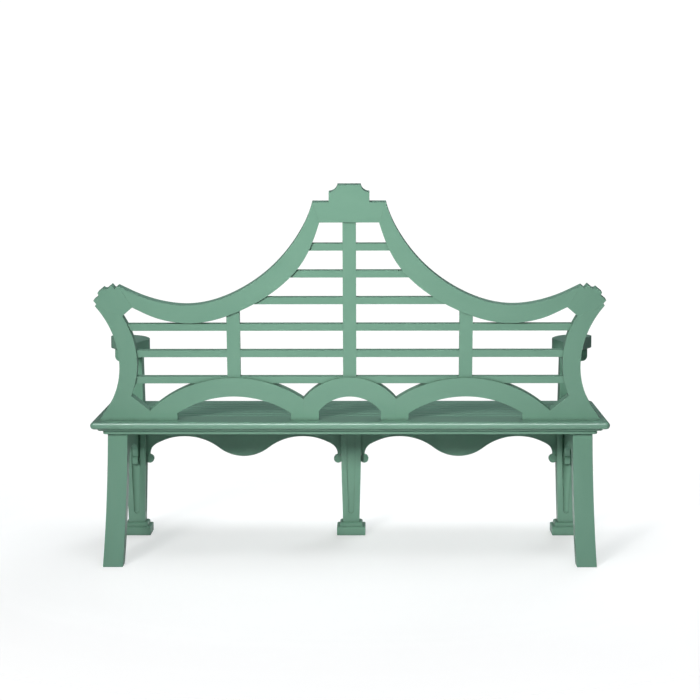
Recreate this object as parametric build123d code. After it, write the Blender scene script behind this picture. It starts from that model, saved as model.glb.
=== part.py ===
from build123d import *
from math import atan, cos, pi, sin, sqrt, tan
import os

# A painted hardwood garden bench: a reclined, swept back on a moulded seat, five legs and two arms.
# Frame: millimetres, +X along the bench, the back is on the +Y side, +Z up. The origin is on the
# floor, under the middle of the bench. The bench is mirror-symmetric about X = 0.

# ---- driving dimensions -------------------------------------------------------------------------

seat_length = 1680.0
seat_depth = 530.0
seat_height = 450.0
seat_board = 24.0            # thickness of the seat members and seat slats
rear_leg_kick = 112.0        # how far the rear feet stand behind the seat

rear_member_width = 156.0
front_member_width = 94.0
side_member_width = 130.0
seat_slat_count = 5
seat_slat_gap = 6.0

rail_height = 20.0           # moulded rails under the seat members
rail_width = 92.0
side_rail_width = 112.0
upper_step_inset = 21.0      # the rails' two steps, from the seat's outer edge
lower_step_inset = 37.0
upper_step_height = 7.0
bearer_width = 46.0
bearer_offset = 370.0

recline = 7.5                # lean of the back frame, degrees
back_inset = 57.0            # from the seat's rear edge to the back frame's rear face
back_board = 38.0            # thickness of the back frame
slat_board = 22.0            # thickness of the back slats and muntins, centred in the frame
slat_face = 23.0
slat_pitch = 87.5
slat_count = 6
slat_lowest = 121.2          # underside of the lowest back slat, up the slope from the seat
muntin_width = 43.0
muntin_offset = 375.0
housing = 12.0               # how deep a slat or muntin enters the frame

leg_width = 64.0             # rear legs
leg_outer = 789.0
rear_leg_top = 62.0          # rear leg's depth under the seat and, level, at the floor
rear_leg_foot = 58.0
rake_start = 7.0             # degrees the rear legs lean as they leave the seat
front_leg = 67.0
front_leg_ankle = 56.5
front_leg_x = 740.0
front_leg_inset = 57.0       # from the seat's front edge to the front legs
taper_start = 245.0
panel_top_width = 30.0       # sunk panels on the front legs' faces
panel_foot_width = 19.0
panel_depth = 3.0
panel_end = 73.0
foot_block = 98.0
foot_block_height = 29.0
foot_collar = 78.0
foot_collar_height = 14.0

apron_board = 18.0
ball_diameter = 29.0
ball_height = 261.0
bracket_neck = 16.0
apron_peak = 339.0
apron_drop = 270.0

arm_height = 686.0
arm_board = 40.0
arm_post = 68.0
arm_post_x = 749.0

# ---- worked out from them -----------------------------------------------------------------------

lean = recline * pi / 180
overall_depth = seat_depth + rear_leg_kick
seat_rear = overall_depth / 2 - rear_leg_kick
seat_front = seat_rear - seat_depth
half_length = seat_length / 2
under_seat = seat_height - seat_board
under_rail = under_seat - rail_height
back_y = seat_rear - back_inset

# The back's own plane: u = X, v = up the slope from the seat, w = forward from the rear face.
back_plane = Plane(origin=(0, back_y, seat_height), x_dir=(1, 0, 0), z_dir=(0, -cos(lean), sin(lean)))

os.makedirs("parts", exist_ok=True)


def from_rear(depth):
    """The Y of a line this far forward of the seat's rear edge."""
    return seat_rear - depth


def box(x0, x1, y0, y1, z0, z1):
    return Pos((x0 + x1) / 2, (y0 + y1) / 2, (z0 + z1) / 2) * Box(abs(x1 - x0), abs(y1 - y0), abs(z1 - z0))


def region(*edges):
    """The flat face inside a closed chain of lines and curves."""
    return Face(Wire([edge for piece in edges for edge in piece.edges()]))


def chain(*points):
    return Polyline(*points)


def mirrored(shape):
    return mirror(shape, about=Plane.YZ)


def both_sides(shape):
    return [shape, mirrored(shape)]


def board(face, thickness, lift=0.0):
    """A board sawn to an outline in the back's plane, lifted off the rear face."""
    return extrude(Pos(0, 0, lift) * face, amount=thickness, dir=(0, 0, 1))


def side_board(outline, x, thickness):
    """A board sawn to an outline in Y and Z, from this X outwards."""
    return extrude(Plane.YZ.offset(x) * outline, amount=thickness, dir=(1, 0, 0))


def front_board(outline, y, thickness):
    """A board sawn to an outline in X and Z, from this Y backwards."""
    standing = Plane(origin=(0, y, 0), x_dir=(1, 0, 0), z_dir=(0, -1, 0))
    return extrude(standing * outline, amount=thickness, dir=(0, 1, 0))


def save(name, *shapes):
    solids = [solid for shape in shapes for solid in shape.solids()]
    export_step(solids[0] if len(solids) == 1 else Compound(solids), f"parts/{name}.step")
    print(f"{name}: {len(solids)}")


def cut(shape, *tools):
    """Take the tools away and keep a plain shape."""
    for tool in tools:
        shape = shape - tool
    return shape


# ---- back frame, in the back's plane (u, v, w) ---------------------------------------------------

crest_underside = 651.0
crest_opening = 95.0
crest_shoulder = (117.0, 716.0)
crest_ledge = (64.7, 748.0)
crest_top = (37.0, 771.0)

sweep_top = [crest_shoulder, (165, 607), (240, 513), (370, 421), (525, 381.5), (650, 404), (741, 445)]
sweep_under = [(crest_opening, crest_underside), (150, 522), (250, 421.5), (373, 354.5), (525, 323),
               (620, 339.5), (698, 375)]
shoulder_inner = (731.5, 346.5)
shoulder_outer = (817.8, 379.8)

waist_v = 182.0
waist_outer = 745.0
waist_inner = 687.0
stile_upper_radius = 305.0
stile_lower_radius = 255.0
stile_inner_radius = 275.0
foot_flare = 34.0            # degrees the foot's outer edge leans out
foot_v = -8.0                # boards run on below the seat line before the level cut
stile_foot_joint = 650.0
stile_foot_notch = (stile_foot_joint, 32.0)
stile_foot_shelf = 81.0

arch_joint = 150.0
side_arch_x = muntin_offset + 1.0
side_arch_centre = -255.0
side_arch_inner = 334.0
side_arch_outer = 396.0
side_opening = 185.0
centre_arch_centre = -50.3
centre_arch_inner = 129.0
centre_arch_outer = 193.0
centre_opening = 100.7


def crest_block():
    sv, lu, (tu, tv) = crest_shoulder[1], crest_ledge[0], crest_top
    half = [
        Line((0, crest_underside), (crest_opening, crest_underside)),
        Line((crest_opening, crest_underside), crest_shoulder),
        chain(crest_shoulder, (lu, sv), crest_ledge),
        ThreePointArc(crest_ledge, (tu + 7.5, tv - 15), crest_top),
        Line(crest_top, (0, tv)),
        Line((0, tv), (0, crest_underside)),
    ]
    right = region(*half)
    return board(right, back_board) + mirrored(board(right, back_board))


def sweep_rail():
    outline = region(
        Spline(*sweep_top, tangents=[(0.25, -1), (1, 0.5)]),
        Line(sweep_top[-1], sweep_under[-1]),
        Spline(*sweep_under, tangents=[(0.3, -1), (1, 0.5)]),
        Line(sweep_under[0], sweep_top[0]),
    )
    return board(outline, back_board)


def shoulder_block():
    """The crest's stepped outline again, smaller, on an axis that points up and out."""
    axis = 50.0 * pi / 180
    middle = 335.0

    def place(t, a):
        t = t + middle
        return (a * cos(axis) + t * sin(axis), a * sin(axis) - t * cos(axis))

    low, ledge, top = 817.5, 833.0, 843.5
    outline = region(
        chain(sweep_under[-1], sweep_top[-1], place(-39.5, low), place(-39.5, ledge), place(-19.5, ledge)),
        ThreePointArc(place(-19.5, ledge), place(-14.5, ledge + 4), place(-12.5, top)),
        Line(place(-12.5, top), place(12.5, top)),
        ThreePointArc(place(12.5, top), place(14.5, ledge + 4), place(19.5, ledge)),
        chain(place(19.5, ledge), place(39.5, ledge), place(39.5, low), shoulder_outer, shoulder_inner),
        Line(shoulder_inner, sweep_under[-1]),
    )
    return board(outline, back_board)


def on_circle(centre_u, centre_v, radius, v, side):
    return (centre_u + side * sqrt(radius ** 2 - (v - centre_v) ** 2), v)


def stile():
    waist = (waist_outer, waist_v)
    upper_mid_v = (shoulder_outer[1] + waist_v) / 2
    upper_mid = on_circle(waist_outer + stile_upper_radius, waist_v, stile_upper_radius, upper_mid_v, -1)
    flare = foot_flare * pi / 180
    flare_start = (waist_outer + stile_lower_radius * (1 - cos(flare)),
                   waist_v - stile_lower_radius * sin(flare))
    flare_mid = (waist_outer + stile_lower_radius * (1 - cos(flare / 2)),
                 waist_v - stile_lower_radius * sin(flare / 2))
    foot_corner = (flare_start[0] + (flare_start[1] - foot_v) * tan(flare), foot_v)
    inner_centre = waist_inner + stile_inner_radius
    shelf = on_circle(inner_centre, waist_v + 8, stile_inner_radius, stile_foot_shelf, -1)
    outline = region(
        ThreePointArc(shoulder_outer, upper_mid, waist),
        ThreePointArc(waist, flare_mid, flare_start),
        chain(flare_start, foot_corner, (stile_foot_joint, foot_v), stile_foot_notch, shelf),
        ThreePointArc(shelf, (waist_inner, waist_v + 8), shoulder_inner),
        Line(shoulder_inner, shoulder_outer),
    )
    return board(outline, back_board)


def arch(centre_u, centre_v, inner, outer, opening, left, right):
    """An arch between two upright joints, standing on the seat on two feet."""
    left_top = on_circle_at(centre_u, centre_v, outer, left)
    right_top = on_circle_at(centre_u, centre_v, outer, right)
    spring_v = centre_v + sqrt(inner ** 2 - opening ** 2)
    outline = region(
        ThreePointArc(left_top, (centre_u, centre_v + outer), right_top),
        chain(right_top, (right, foot_v), (centre_u + opening, foot_v), (centre_u + opening, spring_v)),
        ThreePointArc((centre_u + opening, spring_v), (centre_u, centre_v + inner),
                      (centre_u - opening, spring_v)),
        chain((centre_u - opening, spring_v), (centre_u - opening, foot_v), (left, foot_v), left_top),
    )
    return board(outline, back_board)


def on_circle_at(centre_u, centre_v, radius, u):
    return (u, centre_v + sqrt(radius ** 2 - (u - centre_u) ** 2))


slat_lift = (back_board - slat_board) / 2
half_lap = slat_lift + slat_board / 2
# Half length of each back slat, from the lowest up: to the stiles, then to the sweep rails.
slat_reach = [706, 704, 730, 334, 212, 157]


def back_slat(number):
    v0 = slat_lowest + number * slat_pitch
    reach = slat_reach[number]
    return box(-reach, reach, v0, v0 + slat_face, slat_lift, slat_lift + slat_board)


def muntin(centre_u, low_v, high_v):
    return box(centre_u - muntin_width / 2, centre_u + muntin_width / 2, low_v, high_v,
               slat_lift, slat_lift + slat_board)


def loose_tenon(u, v, angle, length, width):
    return Pos(u, v, back_board / 2) * Rot(0, 0, angle) * Box(length, width, 12)


back_tenon_places = [
    (109, 676, -66, 60, 24),
    (719.5, 410, 25, 58, 30),
    (774.7, 363, 56, 64, 34),
    (stile_foot_joint, 17, 0, 56, 14),
    (arch_joint, 46, 0, 56, 28),
]

crest = crest_block()
sweep = sweep_rail()
shoulder = shoulder_block()
side_stile = stile()
side_arch = arch(side_arch_x, side_arch_centre, side_arch_inner, side_arch_outer, side_opening,
                 arch_joint, stile_foot_joint)
centre_arch = arch(0, centre_arch_centre, centre_arch_inner, centre_arch_outer, centre_opening,
                   -arch_joint, arch_joint)
slats = [back_slat(number) for number in range(slat_count)]
crown_centre = centre_arch_centre + centre_arch_outer
crown_side = side_arch_centre + side_arch_outer
centre_muntin = muntin(0, crown_centre - housing, crest_underside + housing)
side_muntin = muntin(muntin_offset, crown_side - housing, 356 + housing)
tenons = [tenon for place in back_tenon_places for tenon in both_sides(loose_tenon(*place))]

# Slats and muntins cross in halving joints: each slat is cut behind, each muntin in front.
rear_half = box(-seat_length, seat_length, 0, 900, 0, half_lap)
muntins = {
    "centre_muntin": centre_muntin,
    "right_muntin": side_muntin,
    "left_muntin": mirrored(side_muntin),
}
halved_slats = []
for slat in slats:
    for upright in muntins.values():
        crossing = slat & upright
        if crossing and crossing.volume > 1:
            slat = slat - (crossing & rear_half)
    halved_slats.append(slat)
for name in muntins:
    for slat in halved_slats:
        muntins[name] = muntins[name] - slat

frame_insets = halved_slats + list(muntins.values()) + tenons

# ---- seat -----------------------------------------------------------------------------------------

corner_radius = 14.0
side_inner = half_length - side_member_width
rear_member_front = from_rear(rear_member_width)
front_member_rear = seat_front + front_member_width
rail_rear = seat_rear - lower_step_inset
rail_front = seat_front + lower_step_inset
rail_outer = half_length - lower_step_inset


def rounded_slab(inset, z0, z1):
    slab = box(-half_length + inset, half_length - inset, seat_front + inset, seat_rear - inset, z0, z1)
    return fillet(slab.edges().filter_by(Axis.Z), corner_radius)


def nosed_slab():
    """The whole seat as one board with a half-round edge, to be cut into its members."""
    slab = rounded_slab(0, under_seat, seat_height)
    rims = slab.edges().filter_by(Axis.Z, reverse=True)
    return fillet(rims, seat_board / 2 - 0.1)


def stepped_slab():
    """The moulded rails' outer outline in two steps, with the lower arrises rounded."""
    upper = rounded_slab(upper_step_inset, under_seat - upper_step_height, under_seat)
    lower = rounded_slab(lower_step_inset, under_rail, under_seat - upper_step_height)
    upper = fillet(upper.faces().sort_by(Axis.Z)[0].edges(), 3.5)
    lower = fillet(lower.faces().sort_by(Axis.Z)[0].edges(), 3.0)
    return upper + lower


slab = nosed_slab()
rear_member = slab & box(-900, 900, rear_member_front, 400, 400, 500)
front_member = slab & box(-900, 900, -400, front_member_rear, 400, 500)
side_member = slab & box(side_inner, 900, front_member_rear, rear_member_front, 400, 500)

slat_space = rear_member_front - front_member_rear
seat_slat_width = (slat_space - (seat_slat_count + 1) * seat_slat_gap) / seat_slat_count
seat_slats = []
for number in range(seat_slat_count):
    y1 = rear_member_front - seat_slat_gap - number * (seat_slat_width + seat_slat_gap)
    strip = box(-side_inner, side_inner, y1 - seat_slat_width, y1, under_seat, seat_height)
    seat_slats.append(fillet(strip.faces().sort_by(Axis.Z)[-1].edges().filter_by(Axis.X), 3))

stepped = stepped_slab()
rear_rail_front = rail_rear - rail_width
front_rail_rear = rail_front + rail_width
side_rail_inner = rail_outer - side_rail_width
rear_rail = stepped & box(-900, 900, rear_rail_front, 400, 400, 500)
front_rail = stepped & box(-900, 900, -400, front_rail_rear, 400, 500)
side_rail = stepped & box(side_rail_inner, 900, front_rail_rear, rear_rail_front, 400, 500)
rail_tenon_z = (under_rail + 6, under_rail + 14)


def cross_tenons(x0, x1):
    """Stub tenons at both ends of a side rail or a bearer."""
    return (box(x0, x1, rear_rail_front, rear_rail_front + 18, *rail_tenon_z)
            + box(x0, x1, front_rail_rear - 18, front_rail_rear, *rail_tenon_z))


side_rail = side_rail + cross_tenons(side_rail_inner + 25, side_rail_inner + 75)


def bearer(x):
    x0, x1 = x - bearer_width / 2, x + bearer_width / 2
    bar = box(x0, x1, front_rail_rear, rear_rail_front, under_rail, under_seat)
    return bar + cross_tenons(x0 + 8, x1 - 8)


bearers = {"centre_bearer": bearer(0), "right_bearer": bearer(bearer_offset),
           "left_bearer": bearer(-bearer_offset)}

# ---- legs -----------------------------------------------------------------------------------------

leg_tenon = 34.0
leg_inner = leg_outer - leg_width
front_leg_y = seat_front + front_leg_inset + front_leg / 2


def rake_circle(start, finish):
    """The centre and radius of the arc that leaves start at the rake's angle and ends at finish."""
    turn = rake_start * pi / 180
    run, drop = finish[0] - start[0], finish[1] - start[1]
    radius = (run ** 2 + drop ** 2) / (2 * (run * cos(turn) + drop * sin(turn)))
    return start[0] + radius * cos(turn), start[1] + radius * sin(turn), radius


def raked_y(start, finish, z):
    centre_y, centre_z, radius = rake_circle(start, finish)
    return centre_y - sqrt(radius ** 2 - (z - centre_z) ** 2)


rear_curve = ((back_y, under_rail), (seat_rear + rear_leg_kick, 0))
front_curve = ((back_y - rear_leg_top, under_rail), (seat_rear + rear_leg_kick - rear_leg_foot, 0))


def raked_edge(start, finish):
    middle = under_rail / 2
    return ThreePointArc(start, (raked_y(start, finish, middle), middle), finish)


def rear_leg():
    """Sawn to a curve: nearly upright under the seat, raked well back at the foot."""
    side = region(
        raked_edge(*rear_curve),
        Line(rear_curve[1], front_curve[1]),
        raked_edge(*front_curve),
        Line(front_curve[0], rear_curve[0]),
    )
    post = side_board(side, leg_inner, leg_width)
    toe_edge = post.edges().filter_by(Axis.X).group_by(Axis.Z)[0].sort_by(Axis.Y)[0]
    post = chamfer(toe_edge, 9)
    mid_y = back_y - rear_leg_top / 2
    mid_x = (leg_inner + leg_outer) / 2
    half = leg_tenon / 2
    return post + box(mid_x - half, mid_x + half, mid_y - half, mid_y + half, under_rail, under_seat)


def tapered_post(top_half, foot_half, z0, z1):
    top = Plane.XY.offset(z1) * Rectangle(2 * top_half, 2 * top_half)
    foot = Plane.XY.offset(z0) * Rectangle(2 * foot_half, 2 * foot_half)
    return loft([foot, top])


def panel_cut():
    """The sunk panel of one face, the one towards +Y: straight above, narrowing to a round end."""
    half, ankle = front_leg / 2, front_leg_ankle / 2
    tilt = atan((half - ankle) / (taper_start - foot_height))
    face = Plane(origin=(0, half, taper_start), x_dir=(-1, 0, 0), z_dir=(0, cos(tilt), -sin(tilt)))
    face = face.offset(2)
    end_radius = panel_foot_width / 2
    run = (taper_start - panel_end - end_radius) / cos(tilt)
    wide = panel_top_width / 2
    lower = region(
        chain((end_radius, -run), (wide, 0), (-wide, 0), (-end_radius, -run)),
        ThreePointArc((-end_radius, -run), (0, -run - end_radius), (end_radius, -run)),
    )
    below = extrude(face * lower, amount=2 + panel_depth, dir=-face.z_dir)
    above = box(-wide, wide, half - panel_depth, half + 2, taper_start, under_rail)
    return below + above


foot_height = foot_block_height + foot_collar_height


def front_leg_post():
    half = front_leg / 2
    post = tapered_post(half, front_leg_ankle / 2, foot_height, taper_start)
    post = post + box(-half, half, -half, half, taper_start, under_rail)
    sunk = panel_cut()
    for quarter in range(4):
        post = post - Rot(0, 0, 90 * quarter) * sunk
    tenon = leg_tenon / 2
    return post + box(-tenon, tenon, -tenon, tenon, under_rail, under_seat) + foot_tenon()


def foot_tenon():
    """The stub under a front leg, which the foot is mortised for."""
    half = leg_tenon / 4
    return box(-half, half, -half, half, foot_height - 24, foot_height)


def front_foot():
    """A square block under a smaller collar with its upper arris rounded over."""
    half, neck = foot_block / 2, foot_collar / 2
    block = box(-half, half, -half, half, 0, foot_block_height)
    block = fillet(block.faces().sort_by(Axis.Z)[-1].edges(), 4)
    collar = box(-neck, neck, -neck, neck, foot_block_height, foot_height)
    collar = fillet(collar.faces().sort_by(Axis.Z)[-1].edges(), 8)
    return block + collar - foot_tenon()


# ---- aprons ---------------------------------------------------------------------------------------


def bracket(end, inner, peak):
    """One end of an apron: a ball, a neck, and a quarter ellipse up to the arch's peak.

    end is the leg's face, inner the direction away from it."""
    neck = end + inner * bracket_neck
    rise_from = ball_height + ball_diameter / 2 - 1
    squeeze = cos(pi / 4)
    middle = (peak - (peak - neck) * squeeze, rise_from + (apron_peak - rise_from) * squeeze)
    quarter = Spline((neck, rise_from), middle, (peak, apron_peak), tangents=[(0, 1), (inner, 0)])
    ball = Pos(end + inner * ball_diameter / 2, ball_height) * Circle(ball_diameter / 2)
    return quarter, ball, (neck, rise_from)


def front_apron_face():
    """One bay between two front legs: two ball brackets and a drop in the middle, joined by ogees."""
    left, right = front_leg / 2 - panel_depth, front_leg_x - front_leg / 2 + panel_depth
    middle = (left + right) / 2
    peak_run = 202.0
    drop = apron_peak - apron_drop
    turn = 2 * atan(drop / peak_run)
    radius_sum = peak_run / sin(turn)
    low_radius = 0.42 * radius_sum
    high_radius = radius_sum - low_radius

    def along(start, way, radius, rise, angle):
        """The point this angle round an arc that leaves start level, going way, and bends up or down."""
        return (start[0] + way * radius * sin(angle), start[1] + rise * radius * (1 - cos(angle)))

    def ogee(side):
        peak = (middle + side * peak_run, apron_peak)
        bottom = (middle, apron_drop)
        high = along(peak, -side, high_radius, -1, turn / 2)
        bend = along(bottom, side, low_radius, 1, turn)
        low = along(bottom, side, low_radius, 1, turn / 2)
        return [ThreePointArc(peak, high, bend), ThreePointArc(bend, low, bottom)]

    left_quarter, left_ball, left_neck = bracket(left, 1, middle - peak_run)
    right_quarter, right_ball, right_neck = bracket(right, -1, middle + peak_run)
    outline = region(
        chain(left_neck, (left, left_neck[1]), (left, under_rail), (right, under_rail),
              (right, right_neck[1]), right_neck),
        right_quarter, *ogee(1), *ogee(-1), left_quarter,
    )
    return Sketch() + [outline, left_ball, right_ball]


apron_tenon = 10.0
tongue_half = 5.0            # half the thickness of an apron's tongues
apron_tenon_z = (310.0, 390.0)
tongue_low = 345.0           # underside of the tongue in the raked rear leg


def front_apron():
    board_piece = front_board(front_apron_face(), -apron_board / 2, apron_board)
    left, right = front_leg / 2 - panel_depth, front_leg_x - front_leg / 2 + panel_depth
    grip = bracket_neck / 2
    for x0, x1 in ((left - apron_tenon, left + grip), (right - grip, right + apron_tenon)):
        board_piece = board_piece + box(x0, x1, -tongue_half, tongue_half, *apron_tenon_z)
    return Pos(0, front_leg_y, 0) * board_piece


def side_apron(leg):
    """Between a rear and a front leg, drawn along Y from the front leg's sunk face."""
    start = front_leg_y + front_leg / 2 - panel_depth
    finish = raked_y(*front_curve, ball_height)
    peak = (start + finish) / 2
    front_quarter, front_ball, front_neck = bracket(start, 1, peak)
    rear_quarter, rear_ball, rear_neck = bracket(finish, -1, peak)
    overrun = finish + 20
    outline = region(
        chain(front_neck, (start, front_neck[1]), (start, under_rail), (overrun, under_rail),
              (overrun, rear_neck[1]), rear_neck),
        rear_quarter, front_quarter,
    )
    face = Sketch() + [outline, front_ball, rear_ball]
    piece = side_board(face, front_leg_x - apron_board / 2, apron_board)
    x0, x1 = front_leg_x - tongue_half, front_leg_x + tongue_half
    tongue = box(x0, x1, start - apron_tenon, start, *apron_tenon_z)
    socket = raked_y(*front_curve, tongue_low)
    rear_tongue = box(x0, x1, back_y - rear_leg_top - 2, socket + apron_tenon, tongue_low, apron_tenon_z[1])
    return cut(piece, leg) + tongue + rear_tongue


# ---- arms -----------------------------------------------------------------------------------------

arm_underside = arm_height - arm_board
post_collar = 600.0          # the arm posts are straight above this and widen below it
post_foot = 74.0
scroll_outer = 806.0
scroll_height = 44.0
dowel_radius = 6.0
dowel_length = 42.0


def arm():
    """A narrow board at the back that flares to a rounded, outward-set paddle over the post."""
    inner = [(698, 40), (713, 190), (692, 295), (681, 345), (699, 420), (757, 482)]
    outer = [(757, 482), (806, 484), (823, 452), (796, 372), (769, 265), (752, 130)]
    heel = (752, from_rear(40))
    flip = [[(x, from_rear(depth)) for x, depth in edge] for edge in (inner, outer)]
    outline = region(
        Spline(*flip[0], tangents=[(0, -1), (1, -0.5)]),
        Spline(*flip[1]),
        Line(flip[1][-1], heel),
        Line(heel, flip[0][0]),
    )
    plank = board(outline, arm_board, arm_underside)
    behind = back_plane * box(-900, 900, -100, 900, -300, back_board)
    middle = arm_height - arm_board / 2
    tenon = box(704, 740, from_rear(80), from_rear(52), middle - 10, middle + 10)
    return plank - behind + tenon


def arm_post_piece():
    half, foot = arm_post / 2, post_foot / 2
    shaft = tapered_post(half, foot, seat_height, post_collar)
    return Pos(arm_post_x, front_leg_y, 0) * (
        shaft + box(-half, half, -half, half, post_collar, arm_underside))


def arm_scroll():
    """A rolled block under the paddle, on the post's outer face."""
    block = box(arm_post_x + arm_post / 2, scroll_outer, from_rear(476), from_rear(402),
                arm_underside - scroll_height, arm_underside)
    lower = block.edges().filter_by(Axis.Y).group_by(Axis.Z)[0].sort_by(Axis.X)[-1]
    return fillet(lower, 18)


def dowel(x, y, z):
    """An upright dowel, half above and half below z."""
    return Pos(x, y, z) * Cylinder(dowel_radius, dowel_length)


# The dowels stand 18 mm in the seat and the rest in the piece above it.
seat_dowel_z = seat_height - 18 + dowel_length / 2
back_dowel_y = back_y - back_board / 2 + 1.5
foot_dowels = [dowel(side * x, back_dowel_y, seat_dowel_z)
               for x in (128, 171, 592, 708, 772) for side in (1, -1)]
arm_dowels = []
for side in (1, -1):
    for step in (-17, 17):
        arm_dowels.append(dowel(side * arm_post_x, front_leg_y + step, seat_dowel_z))
        arm_dowels.append(dowel(side * (arm_post_x + step), front_leg_y, arm_underside - 1))

# ---- screws ---------------------------------------------------------------------------------------

screw_length = 34.0
screw_head = 4.0
screw_shank = 2.0


def screw(x, y):
    """A countersunk screw driven up from under a rail or bearer."""
    side = region(chain((0, 0), (screw_head, 0), (screw_shank, 2.5), (screw_shank, screw_length - 4),
                        (0, screw_length), (0, 0)))
    return Pos(x, y, under_rail) * revolve(Plane.XZ * side, Axis.Z)


slat_lines = [slat.center().Y for slat in seat_slats]
screw_places = [(x, y) for y in slat_lines for x in (-700, -bearer_offset, 0, bearer_offset, 700)]
member_stations = (100, 300, 500, 680)
for side in (1, -1):
    screw_places += [(side * x, from_rear(110)) for x in member_stations]
    screw_places += [(side * x, seat_front + 50) for x in member_stations]
    screw_places += [(side * 780, from_rear(depth)) for depth in (210, 300)]
screws = [screw(x, y) for x, y in screw_places]

# ---- assembly: joints are cut here, then every piece is written ------------------------------------

under_back = box(-seat_length, seat_length, -seat_depth, seat_depth, seat_height - 100, seat_height)


def back_piece(shape):
    """Cut the housings, stand the piece on the seat and level its foot."""
    placed = back_plane * cut(shape, *frame_insets)
    return cut(placed, under_back, *foot_dowels)


arm_right = arm()
pieces = {
    "crest_block": back_piece(crest),
    "centre_arch": back_piece(centre_arch),
    "right_sweep_rail": back_piece(sweep),
    "right_shoulder_block": back_piece(shoulder),
    "right_stile": cut(back_piece(side_stile), arm_right),
    "right_arch": back_piece(side_arch),
}
for number, slat in enumerate(halved_slats):
    pieces[f"back_slat_{number + 1}"] = back_plane * slat
for name, upright in muntins.items():
    pieces[name] = back_plane * upright

leg_right = rear_leg()
leg_front = Pos(0, front_leg_y, 0) * front_leg_post()
foot_front = Pos(0, front_leg_y, 0) * front_foot()
front_apron_right = front_apron()
side_apron_right = side_apron(leg_right)
side_rails = both_sides(side_rail)
aprons = both_sides(front_apron_right) + both_sides(side_apron_right)
leg_places = {"left": -front_leg_x, "centre": 0, "right": front_leg_x}
legs = {name: Pos(x, 0, 0) * leg_front for name, x in leg_places.items()}
for name, leg in legs.items():
    pieces[f"{name}_front_leg"] = cut(leg, *aprons)
    pieces[f"{name}_front_foot"] = Pos(leg_places[name], 0, 0) * foot_front
all_legs = list(legs.values()) + both_sides(leg_right)

pieces["rear_rail"] = cut(rear_rail, *side_rails, *bearers.values(), *all_legs, *screws)
pieces["front_rail"] = cut(front_rail, *side_rails, *bearers.values(), *all_legs, *screws)
pieces["right_side_rail"] = cut(side_rail, *screws)
for name, bar in bearers.items():
    pieces[name] = cut(bar, *screws)
pieces["rear_seat_member"] = cut(rear_member, *foot_dowels, *screws)
pieces["front_seat_member"] = cut(front_member, *arm_dowels, *screws)
pieces["right_seat_member"] = cut(side_member, *arm_dowels, *screws)
for number, slat in enumerate(seat_slats):
    pieces[f"seat_slat_{number + 1}"] = cut(slat, *screws)
pieces["right_rear_leg"] = cut(leg_right, side_apron_right)
pieces["right_front_apron"] = front_apron_right
pieces["right_side_apron"] = side_apron_right
pieces["right_arm"] = cut(arm_right, *arm_dowels)
pieces["right_arm_post"] = cut(arm_post_piece(), *arm_dowels)
pieces["right_arm_scroll"] = arm_scroll()

for name in list(pieces):
    twin = name.replace("right_", "left_")
    if twin not in pieces:
        pieces[twin] = mirrored(pieces[name])
for name, piece in pieces.items():
    save(name, piece)
save("back_loose_tenons", *[back_plane * tenon for tenon in tenons])
save("back_foot_dowels", *foot_dowels)
save("arm_dowels", *arm_dowels)
save("seat_screws", *screws)
print(f"{len(pieces) + 4} nodes, {len(screws)} screws, overall depth {overall_depth:.0f} mm")
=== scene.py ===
import math
import bpy
import numpy as np
from mathutils import Matrix, Vector

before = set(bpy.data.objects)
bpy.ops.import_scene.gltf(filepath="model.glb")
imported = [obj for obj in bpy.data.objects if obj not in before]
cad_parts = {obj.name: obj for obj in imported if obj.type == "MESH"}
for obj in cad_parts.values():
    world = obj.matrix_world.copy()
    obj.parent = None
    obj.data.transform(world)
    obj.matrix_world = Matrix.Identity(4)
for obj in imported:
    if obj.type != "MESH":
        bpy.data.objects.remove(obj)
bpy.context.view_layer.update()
print("frame loaded:", len(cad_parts), "wooden and steel parts")

# Axes: X along the bench, Y from the sitter's feet to the back, Z up, metres.
# The camera stands behind the bench and looks towards -Y, so +X is on its left.

shot = {
    "place": (-0.0752, 6.5905, 1.3934),
    "turn": 0.66,          # degrees off square, towards +X
    "dip": 6.33,           # degrees below level
    "roll": -0.12,
    "lens": 102.86,        # millimetres
    "sensor": 36.0,        # millimetres
    "reach": 60,           # how far the camera sees
}


def aimCamera(shot):
    turn, dip, roll = (math.radians(shot[k]) for k in ("turn", "dip", "roll"))
    level = Vector((math.sin(turn), -math.cos(turn), 0))
    ahead = level * math.cos(dip) - Vector((0, 0, math.sin(dip)))
    right = ahead.cross(Vector((0, 0, 1))).normalized()
    up = right.cross(ahead)
    tilted = right * math.cos(roll) + up * math.sin(roll)
    upright = up * math.cos(roll) - right * math.sin(roll)
    data = bpy.data.cameras.new("studioCamera")
    data.lens, data.sensor_width = shot["lens"], shot["sensor"]
    data.clip_end = shot["reach"]
    camera = bpy.data.objects.new("studioCamera", data)
    bpy.context.scene.collection.objects.link(camera)
    axes = Matrix((tilted, upright, -ahead)).transposed()
    camera.matrix_world = Matrix.Translation(shot["place"]) @ axes.to_4x4()
    bpy.context.scene.camera = camera


aimCamera(shot)
print("camera placed")


# Small helpers for node trees.

def addNode(tree, kind, values=None, **settings):
    node = tree.nodes.new(kind)
    for name, value in settings.items():
        setattr(node, name, value)
    for socket, value in (values or {}).items():
        node.inputs[socket].default_value = value
    return node


def join(tree, fromSocket, toSocket):
    tree.links.new(fromSocket, toSocket)


def mathNode(tree, operation, first, second=None, clamp=False):
    # first and second are numbers or sockets
    node = addNode(tree, "ShaderNodeMath", operation=operation, use_clamp=clamp)
    for place, value in enumerate((first, second)):
        if value is None:
            continue
        if isinstance(value, (int, float)):
            node.inputs[place].default_value = value
        else:
            join(tree, value, node.inputs[place])
    return node.outputs[0]


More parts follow.
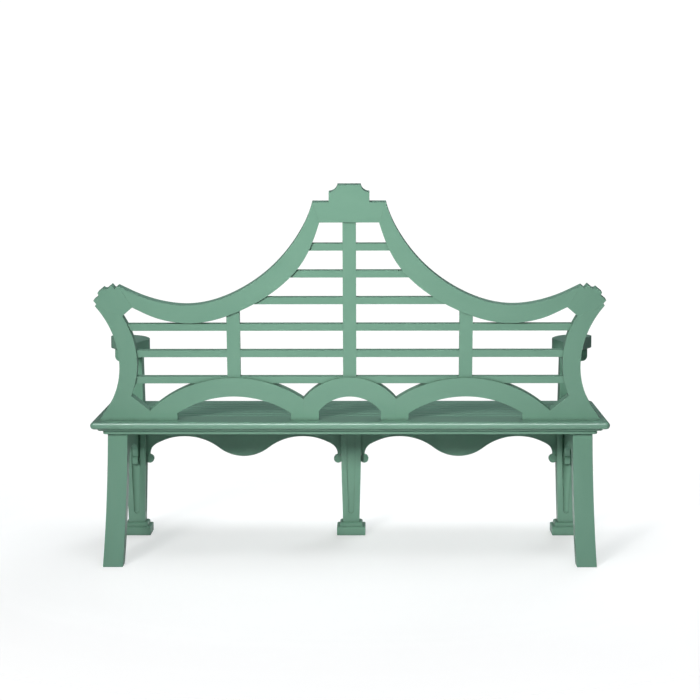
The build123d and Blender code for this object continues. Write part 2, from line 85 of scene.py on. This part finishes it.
def fit(tree, value, low, high, outLow=0.0, outHigh=1.0):
    node = addNode(tree, "ShaderNodeMapRange", {1: low, 2: high, 3: outLow, 4: outHigh})
    join(tree, value, node.inputs[0])
    return node.outputs[0]


def mixColour(tree, share, first, second, blend="MIX"):
    node = addNode(tree, "ShaderNodeMix", data_type="RGBA", blend_type=blend)
    for place, value in ((0, share), (6, first), (7, second)):
        if isinstance(value, (int, float, tuple)):
            node.inputs[place].default_value = value
        else:
            join(tree, value, node.inputs[place])
    return node.outputs[2]


def stretched(tree, vector, scale):
    node = addNode(tree, "ShaderNodeMapping", {"Scale": scale})
    join(tree, vector, node.inputs["Vector"])
    return node.outputs[0]


def noise(tree, vector, scale, detail=3.0, roughness=0.55, distortion=0.0):
    node = addNode(tree, "ShaderNodeTexNoise", {
        "Scale": scale, "Detail": detail, "Roughness": roughness, "Distortion": distortion})
    join(tree, vector, node.inputs["Vector"])
    return node.outputs["Fac"]


def newGroup(name, takes, gives):
    group = bpy.data.node_groups.new(name, "ShaderNodeTree")
    for label, kind, value in takes:
        socket = group.interface.new_socket(
            name=label, in_out="INPUT", socket_type="NodeSocket" + kind)
        if value is not None:
            socket.default_value = value
    for label in gives:
        group.interface.new_socket(name=label, in_out="OUTPUT", socket_type="NodeSocketFloat")
    given = group.nodes.new("NodeGroupInput").outputs
    result = group.nodes.new("NodeGroupOutput").inputs
    return group, given, result


# Wood grain: fibres drawn out along the board's X, with slow growth bands between them.
# Densities are per metre, and each stretch says how far a mark is drawn out along the board.
grain = {
    "fibres": 420.0, "fibreStretch": 0.035, "fibreDetail": 4.0, "fibreRoughness": 0.6,
    "bands": 34.0, "bandStretch": 0.09, "bandDetail": 2.0, "bandRoughness": 0.5,
    "bandWander": 1.1, "bandCount": 7.0,
    "pores": 760.0, "poreStretch": 0.06, "poreDetail": 2.0, "poreRoughness": 0.5,
    "poreFrom": 0.60, "poreTo": 0.70,
}


def makeGrain():
    group, given, result = newGroup("woodGrain", [
        ("Board", "Vector", None),
        ("Fibres", "Float", grain["fibres"]),
        ("Bands", "Float", grain["bands"])],
        ("Fibre", "Band", "Pore"))
    long = stretched(group, given["Board"], (grain["fibreStretch"], 1.0, 1.0))
    fibre = noise(group, long, 1.0, grain["fibreDetail"], grain["fibreRoughness"])
    join(group, given["Fibres"], fibre.node.inputs["Scale"])
    slow = stretched(group, given["Board"], (grain["bandStretch"], 1.0, 1.0))
    band = noise(group, slow, 1.0, grain["bandDetail"], grain["bandRoughness"], grain["bandWander"])
    join(group, given["Bands"], band.node.inputs["Scale"])
    stripe = mathNode(group, "PINGPONG", mathNode(group, "MULTIPLY", band, grain["bandCount"]), 1.0)
    short = stretched(group, given["Board"], (grain["poreStretch"], 1.0, 1.0))
    pore = noise(group, short, grain["pores"], grain["poreDetail"], grain["poreRoughness"])
    join(group, fibre, result["Fibre"])
    join(group, stripe, result["Band"])
    join(group, fit(group, pore, grain["poreFrom"], grain["poreTo"]), result["Pore"])
    return group


# Brush work: fine ridges along the board, and broad laps where strokes overlap.
brush = {
    "bristles": 620.0, "ridgeStretch": 0.012, "ridgeDetail": 3.0, "ridgeRoughness": 0.65,
    "ridgeWander": 0.15,
    "laps": 9.0, "lapStretch": 0.35, "lapDetail": 2.0, "lapRoughness": 0.5, "lapWander": 0.6,
    "lapFrom": 0.32, "lapTo": 0.68,
}


def makeBrush():
    group, given, result = newGroup("brushWork", [
        ("Board", "Vector", None),
        ("Bristles", "Float", brush["bristles"]),
        ("Laps", "Float", brush["laps"])],
        ("Ridge", "Lap"))
    wavy = stretched(group, given["Board"], (brush["ridgeStretch"], 1.0, 1.0))
    ridge = noise(group, wavy, 1.0, brush["ridgeDetail"], brush["ridgeRoughness"],
                  brush["ridgeWander"])
    join(group, given["Bristles"], ridge.node.inputs["Scale"])
    broad = stretched(group, given["Board"], (brush["lapStretch"], 1.0, 1.0))
    lap = noise(group, broad, 1.0, brush["lapDetail"], brush["lapRoughness"], brush["lapWander"])
    join(group, given["Laps"], lap.node.inputs["Scale"])
    join(group, ridge, result["Ridge"])
    join(group, fit(group, lap, brush["lapFrom"], brush["lapTo"]), result["Lap"])
    return group


# Edge wear: how far the rounded normal turns from the face's own, broken up by noise.
wear = {
    "reach": 0.003, "samples": 6,
    "turnFrom": 0.995, "turnTo": 0.86,       # how alike the two normals are, off and on an edge
    "patches": 55.0, "patchDetail": 5.0, "patchRoughness": 0.6, "patchFrom": 0.50, "patchTo": 0.66,
}


def makeWear():
    group, given, result = newGroup("edgeWear", [
        ("Place", "Vector", None),
        ("Reach", "Float", wear["reach"]),
        ("Patches", "Float", wear["patches"])],
        ("Edge", "Worn"))
    rounded = addNode(group, "ShaderNodeBevel", samples=wear["samples"])
    join(group, given["Reach"], rounded.inputs["Radius"])
    face = addNode(group, "ShaderNodeNewGeometry")
    turned = addNode(group, "ShaderNodeVectorMath", operation="DOT_PRODUCT")
    join(group, rounded.outputs[0], turned.inputs[0])
    join(group, face.outputs["Normal"], turned.inputs[1])
    edge = fit(group, turned.outputs["Value"], wear["turnFrom"], wear["turnTo"])
    patches = noise(group, given["Place"], 1.0, wear["patchDetail"], wear["patchRoughness"])
    join(group, given["Patches"], patches.node.inputs["Scale"])
    bald = fit(group, patches, wear["patchFrom"], wear["patchTo"])
    worn = mathNode(group, "MULTIPLY", edge, bald)
    join(group, edge, result["Edge"])
    join(group, worn, result["Worn"])
    return group


# Painted shade in corners: the share of nearby space that is closed in, darkened where shade would
# fall, broken up by noise.
paintedShade = {
    "reach": 0.014, "samples": 6,
    "openFrom": 0.88, "openTo": 0.42,        # open space round a place with no painted shade and one in full painted shade
    "patches": 38.0, "patchDetail": 4.0, "patchRoughness": 0.6, "patchFrom": 0.3, "patchTo": 0.7,
    "least": 0.55,
}


def makePaintedShade():
    group, given, result = newGroup("paintedCornerShade", [
        ("Place", "Vector", None),
        ("Reach", "Float", paintedShade["reach"])],
        ("PaintedShade",))
    closed = addNode(group, "ShaderNodeAmbientOcclusion", samples=paintedShade["samples"])
    join(group, given["Reach"], closed.inputs["Distance"])
    shut = fit(group, closed.outputs["AO"], paintedShade["openFrom"], paintedShade["openTo"])
    patches = noise(group, given["Place"], paintedShade["patches"], paintedShade["patchDetail"],
                    paintedShade["patchRoughness"])
    broken = fit(group, patches, paintedShade["patchFrom"], paintedShade["patchTo"], paintedShade["least"], 1.0)
    join(group, mathNode(group, "MULTIPLY", shut, broken), result["PaintedShade"])
    return group


grainGroup = makeGrain()
brushGroup = makeBrush()
wearGroup = makeWear()
paintedShadeGroup = makePaintedShade()
print("node groups made")


def placeGroup(tree, group, vectorSocket, vector, **values):
    node = addNode(tree, "ShaderNodeGroup", node_tree=group)
    for name, value in values.items():
        node.inputs[name].default_value = value
    join(tree, vector, node.inputs[vectorSocket])
    return node.outputs


def newMaterial(name):
    material = bpy.data.materials.new(name)
    material.use_nodes = True
    tree = material.node_tree
    shader = tree.nodes["Principled BSDF"]
    return material, tree, shader


def boardSpace(tree, run, shift):
    # object coordinates, turned so that X runs along the board, and shifted so that no two match
    place = addNode(tree, "ShaderNodeTexCoord").outputs["Object"]
    turn = Vector(run).to_track_quat("X", "Z").to_euler()
    turned = addNode(tree, "ShaderNodeMapping", {"Rotation": turn, "Location": shift},
                     vector_type="TEXTURE")
    join(tree, place, turned.inputs["Vector"])
    return place, turned.outputs[0]


paint = {
    "colour": (0.226, 0.432, 0.318, 1.0),
    "deep": (0.190, 0.384, 0.280, 1.0),      # where the coat is thick, in laps and pores
    "thin": (0.330, 0.520, 0.405, 1.0),      # where the coat is thin, on arrises
    # dark green painted into closed-in corners and recesses as shade
    "paintedShade": (0.075, 0.120, 0.085, 1.0),
    "roughness": (0.40, 0.50),
    "specular": 0.5,
    "coat": 0.6,
    "coatRoughness": 0.16,
    "bump": 0.28,
    "relief": 0.0004,
    # how much of each mark shows in the colour
    "lapShade": 0.45, "poreShade": 0.35, "edgeShade": 0.05, "wornShade": 0.35, "paintedShadeAmount": 0.60,
    # how much each mark adds to the roughness
    "ridgeRough": 0.06, "cornerRough": 0.22,
    # how high each mark stands, or how deep a pore goes
    "ridgeHeight": 0.55, "fibreHeight": 0.35, "bandHeight": 0.10, "poreDepth": 0.30,
}


def makePaint(name, run, shift):
    material, tree, shader = newMaterial(name)
    place, boardPlace = boardSpace(tree, run, shift)
    wood = placeGroup(tree, grainGroup, "Board", boardPlace)
    strokes = placeGroup(tree, brushGroup, "Board", boardPlace)
    edges = placeGroup(tree, wearGroup, "Place", place)
    corners = placeGroup(tree, paintedShadeGroup, "Place", place)

    def share(marks, value):
        return mathNode(tree, "MULTIPLY", marks, paint[value])

    thick = mathNode(tree, "ADD", share(strokes["Lap"], "lapShade"),
                     share(wood["Pore"], "poreShade"))
    colour = mixColour(tree, thick, paint["colour"], paint["deep"])
    colour = mixColour(tree, share(edges["Edge"], "edgeShade"), colour, paint["thin"])
    colour = mixColour(tree, share(edges["Worn"], "wornShade"), colour, paint["thin"])
    # painted shade: closed-in corners and recesses darkened towards the shade colour
    colour = mixColour(tree, share(corners["PaintedShade"], "paintedShadeAmount"), colour, paint["paintedShade"])
    join(tree, colour, shader.inputs["Base Color"])

    low, high = paint["roughness"]
    rough = fit(tree, strokes["Lap"], 0.0, 1.0, low, high)
    rough = mathNode(tree, "ADD", rough, share(strokes["Ridge"], "ridgeRough"))
    rough = mathNode(tree, "ADD", rough, share(corners["PaintedShade"], "cornerRough"), clamp=True)
    join(tree, rough, shader.inputs["Roughness"])

    height = mathNode(tree, "ADD", share(strokes["Ridge"], "ridgeHeight"),
                      share(wood["Fibre"], "fibreHeight"))
    height = mathNode(tree, "ADD", height, share(wood["Band"], "bandHeight"))
    height = mathNode(tree, "SUBTRACT", height, share(wood["Pore"], "poreDepth"))
    bump = addNode(tree, "ShaderNodeBump", {"Strength": paint["bump"], "Distance": paint["relief"]})
    join(tree, height, bump.inputs["Height"])
    join(tree, bump.outputs[0], shader.inputs["Normal"])

    shader.inputs["Specular IOR Level"].default_value = paint["specular"]
    shader.inputs["Coat Weight"].default_value = paint["coat"]
    shader.inputs["Coat Roughness"].default_value = paint["coatRoughness"]
    return material


bare = {
    "light": (0.50, 0.33, 0.19, 1.0),
    "dark": (0.29, 0.16, 0.08, 1.0),
    "fibres": 700.0,
    "bands": 90.0,
    "poreShade": 0.6,
    "roughness": (0.55, 0.75),
    "bump": 0.3,
    "relief": 0.0003,
}


def makeBareWood(name, run, shift):
    material, tree, shader = newMaterial(name)
    _, boardPlace = boardSpace(tree, run, shift)
    wood = placeGroup(tree, grainGroup, "Board", boardPlace,
                      Fibres=bare["fibres"], Bands=bare["bands"])
    colour = mixColour(tree, wood["Band"], bare["light"], bare["dark"])
    pores = mathNode(tree, "MULTIPLY", wood["Pore"], bare["poreShade"])
    colour = mixColour(tree, pores, colour, bare["dark"])
    join(tree, colour, shader.inputs["Base Color"])
    low, high = bare["roughness"]
    join(tree, fit(tree, wood["Fibre"], 0.3, 0.7, low, high), shader.inputs["Roughness"])
    bump = addNode(tree, "ShaderNodeBump", {"Strength": bare["bump"], "Distance": bare["relief"]})
    join(tree, wood["Fibre"], bump.inputs["Height"])
    join(tree, bump.outputs[0], shader.inputs["Normal"])
    return material


screwSteel = {
    "bright": (0.62, 0.62, 0.60, 1.0),
    "dull": (0.36, 0.35, 0.33, 1.0),
    "scratches": 2600.0,
    "stains": 240.0,
    "roughness": (0.28, 0.5),
    "bump": 0.2,
    "relief": 0.0001,
}


def makeScrewSteel(name):
    material, tree, shader = newMaterial(name)
    place = addNode(tree, "ShaderNodeTexCoord").outputs["Object"]
    drawn = stretched(tree, place, (1.0, 0.2, 1.0))
    scratch = noise(tree, drawn, screwSteel["scratches"], 3.0, 0.6)
    stain = fit(tree, noise(tree, place, screwSteel["stains"], 4.0, 0.6), 0.45, 0.65)
    colour = mixColour(tree, stain, screwSteel["bright"], screwSteel["dull"])
    join(tree, colour, shader.inputs["Base Color"])
    low, high = screwSteel["roughness"]
    join(tree, fit(tree, scratch, 0.3, 0.7, low, high), shader.inputs["Roughness"])
    bump = addNode(tree, "ShaderNodeBump", {
        "Strength": screwSteel["bump"], "Distance": screwSteel["relief"]})
    join(tree, scratch, bump.inputs["Height"])
    join(tree, bump.outputs[0], shader.inputs["Normal"])
    shader.inputs["Metallic"].default_value = 1.0
    return material


# Which way each board's grain runs, for the +X side. The -X side is its mirror image.
boardRuns = {
    "crest_block": (1, 0, 0),
    "sweep_rail": (1, 0.06, -0.46),
    "shoulder_block": (0.64, 0.10, 0.76),
    "stile": (0.10, 0.13, 1),
    "arch": (1, 0, 0),
    "back_slat": (1, 0, 0),
    "muntin": (0, 0.13, 1),
    "seat_slat": (1, 0, 0),
    "rear_seat_member": (1, 0, 0),
    "front_seat_member": (1, 0, 0),
    "right_seat_member": (0, 1, 0),
    "left_seat_member": (0, 1, 0),
    "rear_rail": (1, 0, 0),
    "front_rail": (1, 0, 0),
    "side_rail": (0, 1, 0),
    "bearer": (0, 1, 0),
    "rear_leg": (0, -0.28, 1),
    "front_leg": (0, 0, 1),
    "front_foot": (1, 0, 0),
    "front_apron": (1, 0, 0),
    "side_apron": (0, 1, 0),
    "arm_post": (0, 0, 1),
    "arm_scroll": (1, 0, 0),
    "_arm": (0.08, -1, 0),
    "back_loose_tenons": (1, 0, 0),
    "back_foot_dowels": (0, 0, 1),
    "arm_dowels": (0, 0, 1),
}


def runOf(node):
    key = max((k for k in boardRuns if k in node), key=len)
    x, y, z = boardRuns[key]
    return (-x, y, z) if node.startswith("left") else (x, y, z)


softening = {
    "weld": 0.00001,
    "flat": 0.05,              # degrees
    "sharp": 28.0,             # degrees
    "segments": 2,
    "faceWeight": 70,
    "arris": 0.0012,
    "flushArris": 0.0004,      # where boards meet flush and the joint is filled
    "hiddenArris": 0.0005,
    "screwArris": 0.0003,
    "flushParts": ("crest", "sweep", "shoulder", "stile", "arch", "muntin", "back_slat"),
    "hiddenParts": ("back_loose_tenons", "back_foot_dowels", "arm_dowels"),
}


def easeArrises(part, width):
    # weld loose triangles, melt flat ones into whole faces, then round every sharp edge
    weld = part.modifiers.new("weld", "WELD")
    weld.merge_threshold = softening["weld"]
    melt = part.modifiers.new("flatFaces", "DECIMATE")
    melt.decimate_type = "DISSOLVE"
    melt.angle_limit = math.radians(softening["flat"])
    ease = part.modifiers.new("easedArris", "BEVEL")
    ease.width = width
    ease.segments = softening["segments"]
    ease.limit_method = "ANGLE"
    ease.angle_limit = math.radians(softening["sharp"])
    shade = part.modifiers.new("faceShading", "WEIGHTED_NORMAL")
    shade.weight = softening["faceWeight"]
    part.data.polygons.foreach_set("use_smooth", np.ones(len(part.data.polygons), bool))


boards = {"seed": 11, "shift": 3.0}      # how far apart in the grain the boards are cut, metres

random = np.random.default_rng(boards["seed"])
for name in sorted(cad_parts):
    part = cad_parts[name]
    shift = tuple(float(v) for v in random.uniform(-boards["shift"], boards["shift"], 3))
    if name == "seat_screws":
        material = makeScrewSteel("screwSteel")
        easeArrises(part, softening["screwArris"])
    elif name in softening["hiddenParts"]:
        material = makeBareWood("bareWood_" + name, runOf(name), shift)
        easeArrises(part, softening["hiddenArris"])
    else:
        material = makePaint("sagePaint_" + name, runOf(name), shift)
        flush = any(word in name for word in softening["flushParts"])
        easeArrises(part, softening["flushArris"] if flush else softening["arris"])
    part.data.materials.clear()
    part.data.materials.append(material)
print("finishes on every part")

# The studio: a pale floor that fades into a white backdrop, and five lamps.

studio = {
    "floorReach": 9.0,         # from the middle to each edge
    "fadeFrom": 1.0,
    "fadeTo": 2.4,
    "floorColour": (0.56, 0.56, 0.56, 1.0),
    "floorRoughness": 0.9,
    "floorSpecular": 0.1,
    "floorGlow": 0.50,
    "backdrop": 1.05,          # what the camera sees
    "ambient": 0.10,           # what lights the bench
    "ambientTint": (0.86, 0.95, 1.0, 1.0),
}


def makeFloor(studio):
    half = studio["floorReach"]
    corners = [(-half, -half, 0), (half, -half, 0), (half, half, 0), (-half, half, 0)]
    mesh = bpy.data.meshes.new("studioFloor")
    mesh.from_pydata(corners, [], [(0, 1, 2, 3)])
    floor = bpy.data.objects.new("studioFloor", mesh)
    bpy.context.scene.collection.objects.link(floor)
    material, tree, shader = newMaterial("studioFloor")
    shader.inputs["Base Color"].default_value = studio["floorColour"]
    shader.inputs["Roughness"].default_value = studio["floorRoughness"]
    shader.inputs["Specular IOR Level"].default_value = studio["floorSpecular"]
    output = tree.nodes["Material Output"]
    seen = addNode(tree, "ShaderNodeLightPath").outputs["Is Camera Ray"]
    glow = addNode(tree, "ShaderNodeEmission")
    join(tree, mathNode(tree, "MULTIPLY", seen, studio["floorGlow"]), glow.inputs["Strength"])
    lit = addNode(tree, "ShaderNodeAddShader")
    join(tree, shader.outputs[0], lit.inputs[0])
    join(tree, glow.outputs[0], lit.inputs[1])
    away = addNode(tree, "ShaderNodeVectorMath", operation="LENGTH")
    join(tree, addNode(tree, "ShaderNodeTexCoord").outputs["Object"], away.inputs[0])
    fade = fit(tree, away.outputs["Value"], studio["fadeFrom"], studio["fadeTo"])
    fade.node.interpolation_type = "SMOOTHSTEP"
    clear = addNode(tree, "ShaderNodeBsdfTransparent")
    faded = addNode(tree, "ShaderNodeMixShader")
    join(tree, fade, faded.inputs[0])
    join(tree, lit.outputs[0], faded.inputs[1])
    join(tree, clear.outputs[0], faded.inputs[2])
    join(tree, faded.outputs[0], output.inputs["Surface"])
    floor.data.materials.append(material)


def makeBackdrop(studio):
    world = bpy.data.worlds.new("studioWorld")
    bpy.context.scene.world = world
    world.use_nodes = True
    tree = world.node_tree
    sky = tree.nodes["Background"]
    seen = addNode(tree, "ShaderNodeLightPath").outputs["Is Camera Ray"]
    strength = fit(tree, seen, 0.0, 1.0, studio["ambient"], studio["backdrop"])
    colour = mixColour(tree, seen, studio["ambientTint"], (1.0, 1.0, 1.0, 1.0))
    join(tree, strength, sky.inputs["Strength"])
    join(tree, colour, sky.inputs["Color"])


# In each lamp, shine is whether gloss mirrors it, wash is whether it lights matt surfaces,
# spread is its throw in degrees, and only names the things that it lights.
lamps = {
    "keyLamp": {"at": (2.3, 5.6, 2.5), "to": (-0.1, 0.1, 1.15), "size": (1.2, 1.2), "spread": 42,
                "watts": 20.3, "tint": (1.0, 0.995, 0.98), "shine": False, "wash": True},
    "stripLamp": {"at": (0.3, 3.0, 4.3), "to": (0, 0.1, 0.5), "size": (4.5, 0.9), "spread": 140,
                  "watts": 190, "tint": (0.95, 0.98, 1.0), "shine": True, "wash": False,
                  "only": ("rear_seat_member", "left_seat_member", "right_seat_member")},
    "topLamp": {"at": (0.0, 0.5, 4.4), "to": (0, 0.0, 0.4), "size": (3.2, 2.4), "spread": 180,
                "watts": 30, "tint": (0.84, 0.94, 1.0), "shine": False, "wash": True},
    "frontLamp": {"at": (-1.8, -5.0, 3.2), "to": (0, 0.0, 0.5), "size": (3.2, 3.2), "spread": 180,
                  "watts": 200, "tint": (0.94, 0.98, 1.0), "shine": False, "wash": True},
    "floorLamp": {"at": (0, 0.3, 4.2), "to": (0, 0.3, 0), "size": (4.5, 3.0), "spread": 180,
                  "watts": 100, "tint": (1.0, 1.0, 1.0), "shine": False, "wash": True,
                  "only": ("studioFloor",)},
}


def hangLamp(name, lamp):
    data = bpy.data.lights.new(name, "AREA")
    data.shape, data.energy, data.color = "RECTANGLE", lamp["watts"], lamp["tint"]
    data.size, data.size_y = lamp["size"]
    data.spread = math.radians(lamp["spread"])
    light = bpy.data.objects.new(name, data)
    light.location = lamp["at"]
    light.visible_glossy, light.visible_diffuse = lamp["shine"], lamp["wash"]
    throw = Vector(lamp["to"]) - Vector(lamp["at"])
    light.rotation_euler = throw.to_track_quat("-Z", "Y").to_euler()
    bpy.context.scene.collection.objects.link(light)
    if "only" in lamp:
        # this lamp lights only some things, though the whole bench still shades them
        lit = bpy.data.collections.new(name + "Reach")
        for lone in lamp["only"]:
            lit.objects.link(bpy.data.objects[lone])
        light.light_linking.receiver_collection = lit


makeFloor(studio)
makeBackdrop(studio)
for lampName, lamp in lamps.items():
    hangLamp(lampName, lamp)
bpy.context.scene.view_settings.view_transform = "Standard"
print("studio lit")
